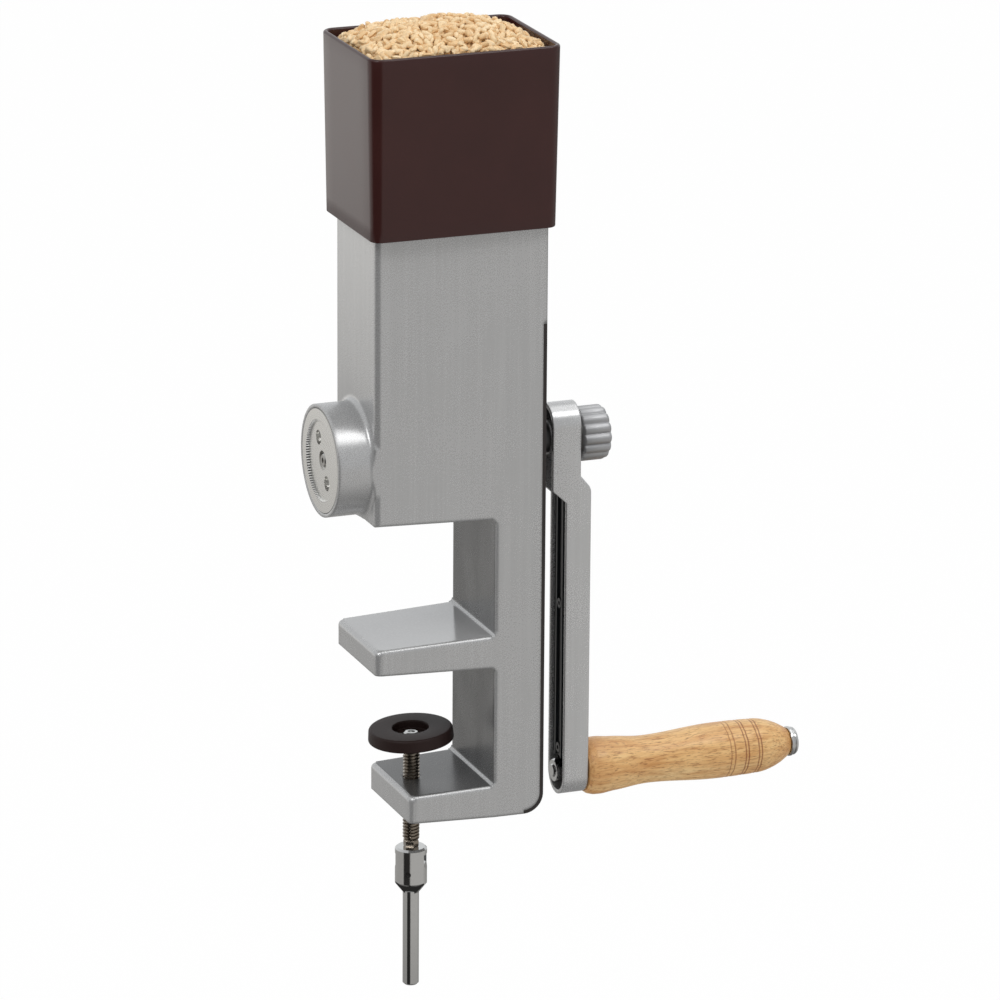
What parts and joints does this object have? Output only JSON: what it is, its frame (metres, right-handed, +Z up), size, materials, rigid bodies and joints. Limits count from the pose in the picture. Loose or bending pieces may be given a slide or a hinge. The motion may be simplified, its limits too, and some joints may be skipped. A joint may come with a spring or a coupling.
{
  "type": "hand grain mill",
  "caption": "Table-clamped hand grain mill: C-shaped cast frame, square hopper, millstones, setting dial, crank with turned wooden grip.",
  "frame": {"origin": "on the underside of the shelf that serves as the upper clamp jaw, where the clamp screw's axis meets it", "axes": "+X along the crank shaft towards the crank, +Z up along the clamp screw, -Y is the front"},
  "size_m": [0.3024, 0.0874, 0.5742],
  "materials": {
    "cast_aluminium": "blasted matt casting",
    "machined_aluminium": "fine turned",
    "bright_steel": "plain",
    "bright_plating": "polished plating",
    "dark_moulding": "fine grained",
    "black_moulding": "satin",
    "black_steel": "blackened",
    "stone": "rough bonded grit, heavier in iron than in stone",
    "bronze": "sintered",
    "seal_rubber": "matt",
    "turned_wood": "oiled, three burnt rings"
  },
  "bodies": {
    "housing": {"frame_casting": "cast_aluminium", "side_cover": "dark_moulding", "cover_screws": "black_steel", "inner_bush": "bronze", "outer_bush": "bronze", "fixed_stone": "stone", "guide_pins": "bright_steel", "friction_ring": "seal_rubber"},
    "hopper_box": {"hopper": "dark_moulding"},
    "crank": {"main_shaft": "bright_steel", "feed_screw": "bright_steel", "feed_screw_pin": "bright_steel", "drive_pin": "bright_steel", "thrust_washer": "bronze", "wave_washer": "bright_steel", "spacer_collar": "machined_aluminium", "crank_arm": "cast_aluminium", "arm_inlay": "black_moulding", "inlay_screws": "bright_steel", "knob_washer": "bright_steel", "clamp_knob": "machined_aluminium", "grip_bolt": "bright_plating", "grip_nut": "bright_plating", "grip_washer": "black_moulding"},
    "turning_grip": {"wooden_grip": "turned_wood", "grip_sleeve": "bronze"},
    "stone_unit": {"stone_carrier": "machined_aluminium", "turning_stone": "stone", "thrust_ball": "bright_steel"},
    "adjuster": {"adjuster_plug": "bronze"},
    "dial": {"grind_dial": "machined_aluminium", "dial_hub": "bronze", "dial_screw": "bright_steel", "dial_clip": "bright_steel"},
    "swivel": {"swivel_ball": "bright_steel"},
    "pad": {"pressure_disc": "dark_moulding"},
    "screw": {"clamp_screw": "bright_steel", "disc_screw": "black_steel", "fork_head": "bright_plating", "neck_pin": "bright_steel", "lever_pin": "bright_steel"},
    "lever": {"folding_lever": "bright_plating"}
  },
  "joints": [
    {"name": "hopper_lift", "type": "slide", "parent": "housing", "child": "hopper_box", "axis": [0, 0, 1], "range_m": [0, 0.12]},
    {"name": "crank_turn", "type": "hinge", "parent": "housing", "child": "crank", "pos_m": [0.083, 0, 0.12442], "axis": [1, 0, 0], "continuous": true},
    {"name": "grip_spin", "type": "hinge", "parent": "crank", "child": "turning_grip", "pos_m": [0.173, 0, -0.08258], "axis": [1, 0, 0], "continuous": true},
    {"name": "dial_turn", "type": "hinge", "parent": "housing", "child": "dial", "pos_m": [-0.0535, 0, 0.12442], "axis": [1, 0, 0], "range_deg": [-135, 135]},
    {"name": "adjuster_travel", "type": "slide", "parent": "housing", "child": "adjuster", "axis": [1, 0, 0], "range_m": [-0.00056, 0.00056]},
    {"name": "stone_travel", "type": "slide", "parent": "crank", "child": "stone_unit", "axis": [1, 0, 0], "range_m": [-0.0006, 0.0006]},
    {"name": "clamp_travel", "type": "slide", "parent": "housing", "child": "swivel", "axis": [0, 0, 1], "range_m": [-0.016, 0.026]},
    {"name": "clamp_turn", "type": "hinge", "parent": "swivel", "child": "screw", "pos_m": [0, 0, -0.09], "axis": [0, 0, 1], "range_deg": [-2900, 4700]},
    {"name": "disc_tilt", "type": "hinge", "parent": "swivel", "child": "pad", "pos_m": [0, 0, -0.0545], "axis": [0, 1, 0], "range_deg": [-2.5, 9]},
    {"name": "lever_fold", "type": "hinge", "parent": "screw", "child": "lever", "pos_m": [0, 0, -0.13391], "axis": [-0.515, -0.8572, 0], "range_deg": [-90, 90]}
  ],
  "couplings": [
    {"joint": "dial_turn", "follows": "adjuster_travel", "rad_per_m": -4188.8},
    {"joint": "stone_travel", "follows": "adjuster_travel", "ratio": 1},
    {"joint": "clamp_turn", "follows": "clamp_travel", "rad_per_m": 3141.6}
  ]
}
